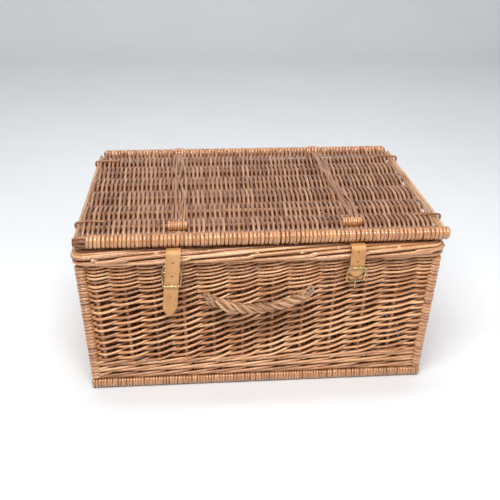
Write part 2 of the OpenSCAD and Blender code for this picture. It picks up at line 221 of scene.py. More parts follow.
def brass(name):
    g = Graph(name)
    tc = g.node("ShaderNodeTexCoord")
    obj = tc.outputs["Object"]
    tarnish = g.noise(obj, 230.0, 5.0, 0.65)
    scratch = g.noise(obj, 1400.0, 3.0, 0.6)
    col = g.ramp(tarnish, [(0.34, srgb(146, 118, 72)), (0.52, srgb(206, 184, 132)), (0.72, srgb(232, 220, 184))])
    g.link(col, g.bsdf.inputs["Base Color"])
    g.bsdf.inputs["Metallic"].default_value = 1.0
    g.link(g.ramp(g.math("ADD", g.math("MULTIPLY", tarnish, 0.7), g.math("MULTIPLY", scratch, 0.3)), [(0.3, (0.46,) * 3 + (1,)), (0.7, (0.24,) * 3 + (1,))]), g.bsdf.inputs["Roughness"])
    g.link(g.bump(scratch, 0.25, 0.0002), g.bsdf.inputs["Normal"])
    return g.mat


M_LID = willow("willow_lid", (84, 48, 28), (148, 100, 70), (186, 142, 110), rough=0.42, coat=0.55, worn=(208, 172, 146), vary=0.35)
M_WALL = willow("willow_wall", (126, 70, 32), (198, 134, 82), (228, 176, 126), rough=0.36, coat=0.60, worn=(236, 194, 150), vary=0.45)
M_BORDER = willow("willow_border", (130, 78, 40), (194, 132, 82), (224, 174, 124), rough=0.34, coat=0.60, worn=(236, 198, 156), vary=0.45)
M_WRAP = willow("willow_wrap", (134, 78, 40), (184, 122, 70), (206, 148, 94), rough=0.30, coat=1.0, shine=0.11, worn=(226, 178, 130), vary=0.28)
M_STICK = willow("willow_stick", (96, 58, 32), (150, 98, 60), (182, 132, 86), rough=0.46, coat=0.25)
# willow_core_painted_shade: a darkened, unvarnished copy of the willow, painted shade for core rods seen only in the
# gaps between rods; no part uses it.
M_CORE_PAINTED_SHADE = willow("willow_core_painted_shade", (58, 34, 18), (92, 58, 32), (124, 82, 50), rough=0.6, coat=0.0)
M_PALE = willow("willow_pale", (138, 92, 58), (180, 136, 96), (212, 174, 134), rough=0.42, coat=0.35, spots=0.25, worn=(226, 200, 168), vary=0.55)
M_ROPE = willow("willow_rope", (112, 70, 44), (176, 126, 86), (206, 162, 122), grey=0.12, rough=0.5, coat=0.15, streak=1.4, worn=(226, 196, 160))
M_CUT = cut_wood("willow_cut", (246, 236, 214), (196, 160, 118))
M_FRAY = cut_wood("rope_fray", (184, 166, 142), (118, 96, 72))
M_LEATHER = leather("strap_leather", (196, 143, 90), (208, 158, 110), (180, 122, 70))
M_CHAPE = leather("chape_leather", (196, 134, 78), (212, 152, 98), (160, 102, 56), wear=0.3)
M_BRASS = brass("buckle_brass")


# ------------------------------------------------------------------ mesh tools

class Bundle:
    """Collects round rods swept along point lists and makes one mesh of them."""

    def __init__(self):
        self.v, self.f, self.a = [], [], []
        self.caps, self.n = [], 0

    def grid(self, ring, closed=False, cuts=(False, False), along=None, rnd=None):
        """ring: (n, sides, 3) points. Rings are joined, ends capped."""
        n, s, _ = ring.shape
        base = self.n
        self.v.append(ring.reshape(-1, 3))
        if rnd is None:
            rnd = rng.random()
        if along is None:
            mid = ring.mean(1)
            step = np.linalg.norm(np.diff(mid, axis=0), axis=1)
            along = np.concatenate([[0], np.cumsum(step)]) * 100.0
        att = np.empty((n, s, 3))
        att[:, :, 0] = along[:, None] + rnd * 37.0
        att[:, :, 1] = np.arange(s)[None, :] / s
        att[:, :, 2] = rnd
        self.a.append(att.reshape(-1, 3))
        i = np.arange(n - (0 if closed else 1))[:, None]
        j = np.arange(s)[None, :]
        i2 = (i + 1) % n
        j2 = (j + 1) % s
        q = np.stack([i * s + j, i * s + j2, i2 * s + j2, i2 * s + j], -1).reshape(-1, 4) + base
        self.f.append(q)
        if not closed:
            self.caps.append((base + np.arange(s)[::-1], cuts[0]))
            self.caps.append((base + (n - 1) * s + np.arange(s), cuts[1]))
        self.n += n * s

    def rod(self, pts, r, ref=(0, 0, 1), sides=7, flat=1.0, closed=False, cuts=(False, False), rnd=None, twist=0.0):
        """pts (n,3) in metres, r one radius or n of them, flat widens the section along ref x tangent."""
        p = np.asarray(pts, float)
        n = len(p)
        if closed:
            t = np.roll(p, -1, 0) - np.roll(p, 1, 0)
        else:
            t = np.gradient(p, axis=0)
        t /= np.linalg.norm(t, axis=1)[:, None]
        ref = np.broadcast_to(np.asarray(ref, float), p.shape)
        nn = ref - (ref * t).sum(1)[:, None] * t
        nn /= np.linalg.norm(nn, axis=1)[:, None]
        bb = np.cross(t, nn)
        ang = 2 * np.pi * np.arange(sides) / sides + twist
        r = np.broadcast_to(np.asarray(r, float), (n,))
        flat = np.broadcast_to(np.asarray(flat, float), (n,))
        ring = (p[:, None, :] + (r[:, None] * np.cos(ang)[None, :])[:, :, None] * nn[:, None, :]
                + ((r * flat)[:, None] * np.sin(ang)[None, :])[:, :, None] * bb[:, None, :])
        self.grid(ring, closed=closed, cuts=cuts, rnd=rnd)

    def make(self, name, mats, smooth=True):
        v = np.concatenate(self.v)
        me = bpy.data.meshes.new(name)
        me.vertices.add(len(v))
        me.vertices.foreach_set("co", v.ravel())
        q = np.concatenate(self.f)
        ncap = len(self.caps)
        loops = [q.ravel()] + [c[0] for c in self.caps]
        lens = [np.full(len(q), 4)] + [np.array([len(c[0])]) for c in self.caps]
        loops, lens = np.concatenate(loops), np.concatenate(lens)
        starts = np.concatenate([[0], np.cumsum(lens)[:-1]])
        me.loops.add(len(loops))
        me.loops.foreach_set("vertex_index", loops.astype(np.int32))
        me.polygons.add(len(lens))
        me.polygons.foreach_set("loop_start", starts.astype(np.int32))
        mi = np.zeros(len(lens), np.int32)
        for k, (_, cut) in enumerate(self.caps):
            mi[len(q) + k] = 1 if cut else 0
        me.polygons.foreach_set("material_index", mi)
        sm = np.ones(len(lens), bool)
        sm[len(q):] = False
        me.polygons.foreach_set("use_smooth", sm if smooth else np.zeros(len(lens), bool))
        att = me.attributes.new("fibre", "FLOAT_VECTOR", "POINT")
        att.data.foreach_set("vector", np.concatenate(self.a).ravel())
        me.update(calc_edges=True)
        me.validate()
        for m in mats:
            me.materials.append(m)
        ob = bpy.data.objects.new(name, me)
        bpy.context.scene.collection.objects.link(ob)
        return ob


def wob(n, amp, waves=3, seed=None):
    """A smooth random wave of n values."""
    r = rng if seed is None else np.random.default_rng(seed)
    x = np.linspace(0, 1, n)
    y = np.zeros(n)
    for k in range(1, waves + 1):
        y += r.normal() / k * np.sin(2 * np.pi * (k * x * r.uniform(0.6, 1.4) + r.random()))
    return amp * y


def place(ob, body, nodes):
    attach(ob, body)
    if nodes:
        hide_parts(*nodes)
    return ob


def smoothstep(x):
    x = np.clip(x, 0, 1)
    return x * x * (3 - 2 * x)


# ------------------------------------------------------------------ dimensions, mm

LEAN = math.tan(math.radians(1.4))
WX, WY = 273.3, 176.8            # wall centre plane at the floor
STICKS = [-186.0, -140.0, -88.0, -30.0, 30.0, 88.0, 140.0, 186.0]
LZ = 280.0
LID_X0, LID_X1 = -279.2, 281.2
FRONT_ST = [-254 + 43.2 * i + 0.4 * i * i for i in range(11)]
BACK_ST = [50.5 * i for i in range(-5, 6)]
END_ST = [45.25 * i for i in range(-3, 4)]
HINGE_X = (-130.0, 137.0)
STRAP_X = (-135.0, 148.0)
LASH_X = (-129.0, 149.0)
LASH_W = 32.0


# ------------------------------------------------------------------ woven flat panel

def panel(sticks, z0, x0, x1, pitch, r, amp, holes=(), seg=9, flat=1.12, top=True, seed=1):
    """Strands running front to back, over one stick and under the next.
    holes: (xa, xb, ya, yb) gaps that a strand turns down into and is cut at."""
    rr = np.random.default_rng(seed)
    b = Bundle()
    n = int(round((x1 - x0) / pitch))
    ys, ks = [], []
    for i in range(len(sticks) - 1):
        t = np.arange(seg) / seg
        ys += list(sticks[i] + (sticks[i + 1] - sticks[i]) * t)
        ks += list(i + t)
    ys.append(sticks[-1]); ks.append(len(sticks) - 1)
    ys, ks = np.array(ys), np.array(ks)
    for j in range(n):
        x = x0 + (j + 0.5) * (x1 - x0) / n
        sign = 1 if j % 2 == 0 else -1
        rad = r * rr.uniform(0.88, 1.10)
        c = np.cos(np.pi * ks)
        shape = np.sign(c) * np.abs(c) ** 0.85
        z = sign * amp * shape + wob(len(ys), 0.14, 3, seed * 1000 + j)
        xx = x + rr.normal(0, 0.12) + wob(len(ys), 0.28, 4, seed * 2000 + j)
        # strands lean on their neighbours where they dive between them
        xx = xx + 0.35 * np.sin(np.pi * ks * 2) * sign
        f = 1.06 + (flat - 1.06) * np.abs(c)
        parts = [(ys, xx, z, f)]
        for (xa, xb, ya, yb) in holes:
            if xa <= x <= xb:
                new = []
                for (py, px, pz, pf) in parts:
                    lo, hi = py < ya, py > yb
                    if lo.any():
                        e = np.concatenate([py[lo], [ya - 1.0, ya + 0.4]])
                        new.append((e, np.concatenate([px[lo], [px[lo][-1]] * 2]),
                                    np.concatenate([pz[lo], [pz[lo][-1] * 0.4 - 1.0, -amp * 0.7]]), np.concatenate([pf[lo], [1, 1]])))
                    if hi.any():
                        e = np.concatenate([[yb - 0.4, yb + 1.0], py[hi]])
                        new.append((e, np.concatenate([[px[hi][0]] * 2, px[hi]]),
                                    np.concatenate([[-amp * 0.7, pz[hi][0] * 0.4 - 1.0], pz[hi]]), np.concatenate([[1, 1], pf[hi]])))
                parts = new
        rv = rr.random()
        for (py, px, pz, pf) in parts:
            order = np.argsort(py, kind="stable")
            pts = np.stack([px, py, z0 + pz], 1)[order] * MM
            b.rod(pts, rad * MM, ref=(0, 0, 1), sides=7, flat=pf[order], rnd=rv, cuts=(False, False))
    return b


def coil(b, centre, axis_from, axis_to, R, turns, r_axial, r_radial, seg=22, sides=8, tilt=0.0, seed=3, gap=None, start=0.0):
    """Rings wound round an axis: each turn has its own tilt, pitch error, thickness and tone.
    centre is unused when axis_from and axis_to are points."""
    rr = np.random.default_rng(seed)
    A, B = np.asarray(axis_from, float), np.asarray(axis_to, float)
    L = np.linalg.norm(B - A)
    u = (B - A) / L
    ref = np.array([0, 0, 1.0]) if abs(u[2]) < 0.9 else np.array([0, 1.0, 0])
    e1 = ref - ref @ u * u
    e1 /= np.linalg.norm(e1)
    e2 = np.cross(u, e1)
    th = np.linspace(0, 2 * np.pi, seg, endpoint=False)
    ph = np.linspace(0, 2 * np.pi, sides, endpoint=False)
    for k in range(turns):
        s = (k + 0.5) / turns * L + rr.normal(0, 0.06) * L / turns
        if gap and any(a <= (A + u * s)[0] <= c for a, c in gap):
            continue
        tl = tilt + rr.normal(0, 0.035)
        t2 = rr.normal(0, 0.03)
        ra = r_axial * rr.uniform(0.90, 1.06)
        rd = r_radial * rr.uniform(0.90, 1.06)
        Rk = R + rr.normal(0, 0.12)
        ax = s + Rk * (tl * np.cos(th - start) + t2 * np.sin(th))
        radial = np.cos(th)[:, None] * e1 + np.sin(th)[:, None] * e2
        c = A + ax[:, None] * u + Rk * radial
        ring = (c[:, None, :] + (ra * np.sin(ph))[None, :, None] * u + (rd * np.cos(ph))[None, :, None] * radial[:, None, :])
        mid = th * Rk / 10.0
        b.grid(ring * MM, closed=True, along=mid, rnd=rr.random())


# ------------------------------------------------------------------ lid

holes = []
for hx in HINGE_X:
    holes.append((hx - 9.6, hx + 9.6, 166.5, 176.0))
for sx, lx in zip(STRAP_X, LASH_X):
    holes.append((lx - LASH_W / 2 - 0.5, lx + LASH_W / 2 + 0.5, -150.0, -131.0))
slot_holes = [(sx - 12.5, sx + 12.5, -160.5, -131.0) for sx in STRAP_X]
for k, h in enumerate(holes[2:]):
    holes[2 + k] = (h[0], h[1], -160.0, -131.0)

b = panel(STICKS, LZ, LID_X0, LID_X1, 3.87, 2.2, 5.9, holes=holes, flat=1.24, seed=5)
lid_weave = place(b.make("lid_woven_panel", [M_LID, M_CUT]), "lid", ["lid_weave"])

b = Bundle()
coil(b, None, (-266, -186, LZ), (292.2, -186, LZ), 8.2, 91, 3.1, 2.25, seed=11, tilt=0.05)
place(b.make("lid_front_binding", [M_WRAP, M_CUT]), "lid", [])
b = Bundle()
coil(b, None, (-275, 186, LZ), (283.5, 186, LZ), 8.2, 91, 3.1, 2.25, seed=12, tilt=-0.05, gap=[(hx - 9.0, hx + 9.0) for hx in HINGE_X])
place(b.make("lid_back_binding", [M_WRAP, M_CUT]), "lid", [])


def stick(name, y, z, xa, xb, d, body, nodes, mat=M_STICK, seed=0):
    bb = Bundle()
    n = 40
    x = np.linspace(xa, xb, n)
    pts = np.stack([x, y + wob(n, 0.25, 3, seed), z + wob(n, 0.2, 3, seed + 1)], 1)
    bb.rod(pts * MM, (d / 2 + wob(n, 0.12, 4, seed + 2)) * MM, ref=(0, 0, 1), sides=12, cuts=(True, True))
    return place(bb.make(name, [mat, M_CUT]), body, nodes)


stick("lid_front_rod", -186, LZ, -284.8, 292.6, 12.6, "lid", ["lid_front_stick"], seed=21)
stick("lid_back_rod", 186, LZ, -277.5, 285.5, 12.6, "lid", ["lid_back_stick"], seed=24)
bb = Bundle()
for i, y in enumerate(STICKS[1:-1]):
    n = 40
    x = np.linspace(-279.0, 281.0, n)
    pts = np.stack([x, y + wob(n, 0.4, 3, 30 + i), LZ + wob(n, 0.2, 3, 40 + i)], 1)
    bb.rod(pts * MM, (3.9 + wob(n, 0.12, 4, 50 + i)) * MM, sides=10, cuts=(True, True))
place(bb.make("lid_cross_rods", [M_STICK, M_CUT]), "lid", ["lid_inner_sticks"])


def edge_rods(name, xs, nodes):
    bb = Bundle()
    for i, (x, r) in enumerate(xs):
        n = 50
        y = np.linspace(-178.5 + i, 178.5 - i, n)
        pts = np.stack([x + wob(n, 0.35, 3, 60 + i), y, LZ + wob(n, 0.5, 3, 64 + i)], 1)
        bb.rod(pts * MM, (r + wob(n, 0.1, 3, 66 + i)) * MM, sides=10, cuts=(True, True), rnd=0.35 + 0.3 * i)
    return place(bb.make(name, [M_PALE, M_CUT]), "lid", nodes)


edge_rods("lid_left_edge_rod", [(-282.5, 3.0)], ["lid_edge_left"])
edge_rods("lid_right_edge_rods", [(284.5, 2.95), (290.9, 2.9)], ["lid_edge_right"])

# thin rods tied over the ends of the lid
bb = Bundle()
for s, x0 in ((-1, -282.5), (1, 290.8)):
    for y, k in ((-133, 0), (133, 1)):
        pts = []
        for t in np.linspace(0, 1, 8):
            pts.append((x0 - s * (40 - 38 * t), y + s * 1.5 * math.sin(3 * t) * (1 if k else -1), LZ + 7.4 + 0.9 * math.sin(math.pi * t)))
        for t in np.linspace(0.08, 1, 9):
            a = t * math.pi
            pts.append((x0 + s * 5.3 * math.sin(a), y + 2.2 * t, LZ + 1.0 + 6.4 * math.cos(a)))
        for t in (0.3, 0.7, 1):
            pts.append((x0 - s * 9 * t, y + 2.4 + 3 * t, LZ - 5.4 - 0.6 * t))
        bb.rod(np.array(pts) * MM, 2.0 * MM, ref=(0, 1, 0), sides=8, cuts=(True, True), rnd=0.3 + 0.2 * k)
place(bb.make("lid_end_ties", [M_STICK, M_CUT]), "lid", ["lid_ties"])


def lane(name, rods, nodes, seed):
    """Hinge tails laid into the lid and crossing each other on their way to the front.
    rods: start x, end x, sideways swing, number of half swings."""
    bb = Bundle()
    rr = np.random.default_rng(seed)
    for i, (xa, xb, sw, q) in enumerate(rods):
        y = np.linspace(167, -128.5, 70)
        k = np.interp(y, STICKS, np.arange(8))
        t = (167 - y) / 295.5
        x = xa + (xb - xa) * t + sw * np.sin(math.pi * q * t) + wob(70, 0.6, 3, seed + i)
        z = 6.6 + 1.3 * np.cos(np.pi * (k + i)) + 0.5 * (i % 2)
        z = z * smoothstep((167.2 - y) / 8) - 2 * (1 - smoothstep((167.2 - y) / 8))
        z = np.where(y < -122, z - (-122 - y) * 0.5, z)
        bb.rod(np.stack([x, y, LZ + z], 1) * MM, np.linspace(2.7, 2.0, 70) * MM, sides=8, cuts=(False, True), rnd=rr.uniform(0.3, 0.8))
    return place(bb.make(name, [M_LID, M_CUT]), "lid", nodes)


lane("lid_left_tails", [(-136, -122, -6.5, 2.3), (-130, -128, 6.0, 2.2), (-126, -116, 4.5, 1.2), (-133, -131, -2.0, 1.0)], ["lane_left"], 71)
lane("lid_right_tails", [(131, 152, 1.5, 2.2), (136, 141, 7.0, 1.1), (141, 156, -5.5, 1.9), (145, 148, 2.0, 2.0)], ["lane_right"], 75)

# loose rod ends beside the bare end of the front stick
bb = Bundle()
rr = np.random.default_rng(17)
for k in range(9):
    a = 0.5 + k * 0.72
    rad = 8.1 + rr.uniform(-0.8, 0.4)
    n = 8
    x = np.linspace(-284.5 + rr.uniform(0, 7), -258, n)
    pts = np.stack([x, -186 + rad * np.cos(a) + wob(n, 0.3, 2, 900 + k), LZ + rad * np.sin(a) - 0.3 + wob(n, 0.3, 2, 920 + k)], 1)
    bb.rod(pts * MM, np.linspace(1.5, 2.3, n) * rr.uniform(0.8, 1.0) * MM, sides=8, cuts=(True, True), rnd=rr.uniform(0.0, 0.7))
place(bb.make("lid_corner_rod_ends", [M_STICK, M_CUT]), "lid", [])

for side, lx in zip(("left", "right"), LASH_X):
    bb = Bundle()
    coil(bb, None, (lx - LASH_W / 2 + 0.4, -140, LZ), (lx + LASH_W / 2 - 0.4, -140, LZ), 6.7, 8, 2.1, 1.9, seed=80 if side == "left" else 83, tilt=0.03)
    place(bb.make(f"lid_{side}_lashing", [M_WRAP, M_CUT]), "lid", [f"lashing_{side}"])


# ------------------------------------------------------------------ base

BASE_ST = [-178.5, -135.0, -84.0, -29.0, 29.0, 84.0, 135.0, 178.5]
b = panel(BASE_ST, 9.0, -279, 279, 4.6, 2.5, 5.6, seed=9, seg=6)
place(b.make("base_woven_panel", [M_WALL, M_CUT]), "basket", ["base_weave"])
b = Bundle()
coil(b, None, (-281.5, -178.5, 9), (280, -178.5, 9), 6.9, 118, 2.5, 2.1, seed=91, tilt=0.05)
place(b.make("base_front_binding", [M_WRAP, M_CUT]), "basket", [])
b = Bundle()
coil(b, None, (-281, 178.5, 9), (281, 178.5, 9), 6.9, 118, 2.5, 2.1, seed=92, tilt=-0.05)
place(b.make("base_back_binding", [M_WRAP, M_CUT]), "basket", [])
stick("base_front_rod", -178.5, 9, -282, 282, 10.6, "basket", ["base_front_stick"], seed=95)
stick("base_back_rod", 178.5, 9, -282, 282, 10.6, "basket", ["base_back_stick"], seed=98)
bb = Bundle()
for i, y in enumerate(BASE_ST[1:-1]):
    n = 30
    x = np.linspace(-280.5, 280.5, n)
    pts = np.stack([x, y + wob(n, 0.4, 3, 130 + i), 9 + wob(n, 0.15, 3, 140 + i)], 1)
    bb.rod(pts * MM, (3.8 + wob(n, 0.1, 4, 150 + i)) * MM, sides=10, cuts=(True, True))
place(bb.make("base_cross_rods", [M_STICK, M_CUT]), "basket", ["base_inner_sticks"])


# ------------------------------------------------------------------ walls

SIDES = {"front": (0, WY, WX, FRONT_ST), "right": (1, WX, WY, END_ST), "back": (2, WY, WX, BACK_ST), "left": (3, WX, WY, END_ST)}


def to_world(i, dist, x, y, z):
    """Local wall frame to the common frame, mm: x along, y inward, z up the leaning wall."""
    a = math.radians(1.4)
    yy = y * math.cos(a) - z * math.sin(a) - dist
    zz = y * math.sin(a) + z * math.cos(a)
    c, s = [(1, 0), (0, 1), (-1, 0), (0, -1)][i]
    return np.stack([c * x - s * yy, s * x + c * yy, zz], -1)


def height_map(z0, z1, u):
    """Row number coordinate to height: rows close up towards the border as the rods thin."""
    zs = np.linspace(z0 - 30, z1 + 20, 400)
    slope = 1.0 - 0.46 * smoothstep((zs - 150) / 75.0)
    us = np.concatenate([[0], np.cumsum((zs[1] - zs[0]) / slope[:-1])])
    us = us - np.interp(z0, zs, us)
    return np.interp(u, us, zs), np.interp(np.interp(u, us, zs), zs, slope), np.interp(z1, zs, us)


def wall(name, seed):
    i, dist, reach, stakes = SIDES[name]
    z0, z1 = (48.0 if name == "front" else 42.0), 243.0
    dense = name != "front"
    half = reach
    knots = [-half - 2] + list(stakes) + [half + 2]
    phase = np.arange(-1, len(stakes) + 1)
    rr = np.random.default_rng(seed)
    b = Bundle()
    row = 4.8 if dense else 5.9
    step = 5.2
    xs = np.arange(-half - 1.5, half + 1.6, step)
    _, _, u1 = height_map(z0, z1, np.array([0.0]))
    # each rod climbs most in the middle of the wall and starts and ends nearly level
    climb = 0.15 + 0.25 * np.sin(np.pi * np.clip((xs + half) / (2 * half), 0, 1)) ** 0.8
    climb = np.concatenate([[0], np.cumsum(climb[:-1] * step)])
    k0 = int(math.floor((0 - climb[-1]) / row)) - 1
    k1 = int(math.ceil(u1 / row)) + 1
    for k in range(k0, k1 + 1):
        du = rr.normal(0, 0.12 if dense else 0.35)
        u = row * k + du + climb + wob(len(xs), 0.45, 4, seed * 500 + k + 400)
        zl, sl, _ = height_map(z0, z1, u)
        keep = (u >= -3.0) & (u <= u1 + 2.0)
        if keep.sum() < 4:
            continue
        ph = np.interp(xs, knots, phase)
        sgn = 1 if k % 2 == 0 else -1
        c = np.cos(np.pi * ph)
        amp = 2.6 if dense else 5.2
        zl = zl + sgn * (1.3 if dense else 1.6) * np.sin(np.pi * ph) * sl - sgn * c * (0 if dense else 0.35) * sl
        # ends curve in to the corner posts
        endf = smoothstep((half + 2 - np.abs(xs)) / 20.0)
        # flatter behind the buckles, so that they swing clear
        if not dense:
            for bx, bz in ((-139.6, 231.0), (148.0, 213.0)):
                endf = endf * (1 - 0.72 * np.exp(-((xs - bx) / 20.0) ** 4 - ((zl - bz) / 17.0) ** 4))
        y = sgn * np.sign(c) * np.abs(c) ** 1.0 * (amp * (0.25 + 0.75 * endf)) + wob(len(xs), 0.3, 5, seed * 700 + k + 400)
        spread = 1.0 + wob(len(xs), 0.05, 3, seed * 900 + k + 400)
        rad = ((3.5 if dense else 2.3) * rr.uniform(0.88, 1.08)) * (0.45 + 0.55 * sl) * spread
        lean_w = half + zl * LEAN
        xw = xs * (lean_w / half) * 1.0
        pts = to_world(i, dist, xw, y, zl)[keep] * MM
        b.rod(pts, rad[keep] * MM, ref=(0, 0, 1), sides=7, rnd=rr.random())
    ob = b.make(f"{name}_wall_rods", [M_WALL, M_CUT])
    place(ob, "basket", [f"weave_{name}"])
    # stakes
    bb = Bundle()
    for q, x in enumerate(stakes):
        n = 24
        z = np.linspace(19, 238, n)
        xw = x * (half + z * LEAN) / half
        pts = to_world(i, dist, xw, wob(n, 0.25, 2, seed + q), z)
        bb.rod(pts * MM, (3.3 + wob(n, 0.12, 3, seed + 40 + q)) * MM, ref=(1, 0, 0) if i % 2 == 0 else (0, 1, 0), sides=8)
    place(bb.make(f"{name}_stakes", [M_STICK, M_CUT]), "basket", [f"stakes_{name}"])
    # waling: three rods per row, in front of two stakes and behind one
    bb = Bundle()
    rows, zb, zt = (4, 18.5, 70.0) if dense else (3, 18.5, 57.0)
    ph_knots = np.array(knots)
    for rw in range(rows):
        for m in range(3):
            xs2 = np.arange(-half + 3, half - 2.9, 4.4)
            ph = np.interp(xs2, ph_knots, phase)
            w = (ph + m + rw) / 3.0
            f = w - np.floor(w)
            # out for two thirds, in for a third
            out = np.where(f < 0.72, np.abs(np.sin(np.pi * f / 0.72)) ** 0.55, -np.abs(np.sin(np.pi * (f - 0.72) / 0.28)) ** 0.8)
            y = -out * 5.2 + 0.4
            h = (zt - zb) / rows
            rise = np.where(f < 0.72, f - 0.36, 0.36 - (f - 0.72) / 0.28 * 0.72)
            z = zb + h * (rw + 0.5) + rise * h * 1.15
            z = z + wob(len(xs2), 0.25, 3, seed * 31 + rw * 3 + m)
            pts = to_world(i, dist, xs2 * (half + z * LEAN) / half, y, z)
            bb.rod(pts * MM, ((2.9 if dense else 2.35) * rr.uniform(0.9, 1.08)) * MM, sides=8, rnd=rr.random())
    place(bb.make(f"{name}_waling", [M_BORDER, M_CUT]), "basket", [f"wale_{name}"])


for q, name in enumerate(SIDES):
    wall(name, 200 + 37 * q)

for sx, nx in ((-1, "left"), (1, "right")):
    for sy, ny in ((-1, "front"), (1, "back")):
        bb = Bundle()
        A = np.array([sx * WX, sy * WY, 0.0])
        d = np.array([sx * LEAN, sy * LEAN, 1.0])
        a0, a1 = A + d * 18.8, A + d * 238.6
        n = 20
        pts = a0 + (a1 - a0) * np.linspace(0, 1, n)[:, None]
        bb.rod(pts * MM, 5.4 * MM, ref=(1, 0, 0), sides=10)
        coil(bb, None, a0 + d * 0.5, a1, 6.5, 35, 3.1, 2.4, seg=20, seed=300 + sx + 3 * sy, tilt=0.20 * sx * -sy)
        place(bb.make(f"{ny}_{nx}_wrapped_post", [M_WRAP, M_CUT]), "basket", [f"post_{ny}_{nx}"])


# ------------------------------------------------------------------ border

def rounded_loop(hx, hy, rad, step=6.0):
    """Points round a rectangle with rounded corners, and the outward direction at each."""
    out, nor = [], []
    segs = [((-hx + rad, -hy), (hx - rad, -hy), (0, -1)), ((hx, -hy + rad), (hx, hy - rad), (1, 0)),
            ((hx - rad, hy), (-hx + rad, hy), (0, 1)), ((-hx, hy - rad), (-hx, -hy + rad), (-1, 0))]
    cen = [(hx - rad, -hy + rad), (hx - rad, hy - rad), (-hx + rad, hy - rad), (-hx + rad, -hy + rad)]
    for q, (p, e, nn) in enumerate(segs):
        L = math.hypot(e[0] - p[0], e[1] - p[1])
        m = max(int(L / step), 2)
        for t in np.arange(m) / m:
            out.append((p[0] + (e[0] - p[0]) * t, p[1] + (e[1] - p[1]) * t)); nor.append(nn)
        a0 = math.atan2(nn[1], nn[0])
        for t in np.arange(7) / 7:
            a = a0 + t * math.pi / 2
            out.append((cen[q][0] + rad * math.cos(a), cen[q][1] + rad * math.sin(a))); nor.append((math.cos(a), math.sin(a)))
    return np.array(out), np.array(nor)


BX, BY = 281.0, 186.0
loop, nor = rounded_loop(BX, BY, 10.0)
closed_len = np.concatenate([[0], np.cumsum(np.linalg.norm(np.diff(np.vstack([loop, loop[:1]]), axis=0), axis=1))])
per = closed_len[-1]
def stadium(u):
    """Section outline of the border: u in 0..1 round it, starting at its lowest point, outer side first."""
    r, hs = 8.9, 1.3     # centre line radius and half of the straight
    u = np.mod(u, 1.0) * 2 * math.pi
    return r * np.sin(u), -r * np.cos(u) - hs * np.sign(np.cos(u))


LP = np.vstack([loop, loop, loop]); NP_ = np.vstack([nor, nor, nor])
SL = np.concatenate([closed_len[:-1], closed_len[:-1] + per, closed_len[:-1] + 2 * per])
bb = Bundle()
rr = np.random.default_rng(77)
RODS, PER_TURN = 20, 8
turn = per * PER_TURN / RODS          # way along the border for one turn round its section
BZ = 252.6
def on_border(s, u, k=1.0):
    px = np.stack([np.interp(s, SL, LP[:, 0]), np.interp(s, SL, LP[:, 1])], 1)
    nx_ = np.stack([np.interp(s, SL, NP_[:, 0]), np.interp(s, SL, NP_[:, 1])], 1)
    nx_ /= np.linalg.norm(nx_, axis=1)[:, None]
    sx_, sz_ = stadium(u)
    return np.stack([px[:, 0] + nx_[:, 0] * sx_ * k, px[:, 1] + nx_[:, 1] * sx_ * k, BZ + sz_ * k], 1)
for j in range(RODS):
    # a rod comes up out of the wall, climbs slowly over the outer face and the top and ends inside
    s0 = per * j / RODS + rr.normal(0, 6)
    m = 110
    t = np.linspace(0, 1, m)
    u = -0.10 + 0.98 * t + wob(m, 0.006, 4, 600 + j) + rr.normal(0, 0.008)
    s_ = s0 + turn * 0.98 * t + per * 0.5
    tuck = 1.0 - 0.30 * (1 - smoothstep(t * 9)) - 0.16 * (1 - smoothstep((1 - t) * 9))
    p = on_border(s_, u, tuck)
    rad = np.interp(t, [0, 0.1, 1], [3.1, 2.95, 2.3]) * rr.uniform(0.92, 1.06)
    p[:, 2] += wob(m, 0.3, 5, 640 + j)
    bb.rod(p * MM, rad * MM, ref=(0, 0, 1), sides=9, cuts=(True, True), rnd=rr.random())
# thinner companions of some rods, and pale cut ends that show under the lid
for j in range(0, RODS):
    s0 = per * (j + 0.5) / RODS + rr.normal(0, 9)
    m = 60
    t = np.linspace(0, 1, m)
    u = -0.04 + 0.50 * t + wob(m, 0.008, 4, 700 + j)
    s_ = s0 + turn * 0.46 * t + per * 0.5
    tuck = 0.93 - 0.25 * (1 - smoothstep(t * 9)) - 0.10 * (1 - smoothstep((1 - t) * 9))
    bb.rod(on_border(s_, u, tuck) * MM, np.interp(t, [0, 1], [2.0, 2.5]) * MM, ref=(0, 0, 1), sides=8, cuts=(True, True), rnd=rr.random())
for (x, z, dx) in ((-263.7, 257.5, 4), (-257.5, 254.3, 5), (-162.6, 259.6, 5), (-114.6, 260.6, 6), (-82, 261, 5), (117.5, 261, 5), (211.8, 260, 5), (-6, 259.2, -5), (60, 257.8, 5)):
    aa = math.asin(min((z - BZ) / 9.4, 0.98))
    e = np.array([x, -186 - 11.2 * math.cos(aa), BZ + 10.6 * math.sin(aa)])
    d = np.array([dx, 2.8 * math.cos(aa) + 1.2, -1.6])
    bb.rod(np.array([e + d * 2.2, e + d * 1.1, e]) * MM, np.array([2.3, 2.6, 2.8]) * MM, ref=(0, 0, 1), sides=9, cuts=(False, True), rnd=0.7)
place(bb.make("border_rods", [M_BORDER, M_CUT]), "basket", ["border_front", "border_back", "border_left", "border_right"])
bb = Bundle()
core = np.stack([loop[:, 0], loop[:, 1], np.full(len(loop), BZ)], 1)
bb.rod(core * MM, 6.4 * MM, ref=(0, 0, 1), sides=10, closed=True, rnd=0.1)
place(bb.make("border_core_rods", [M_STICK, M_CUT]), "basket", [])


# ------------------------------------------------------------------ hinge rings

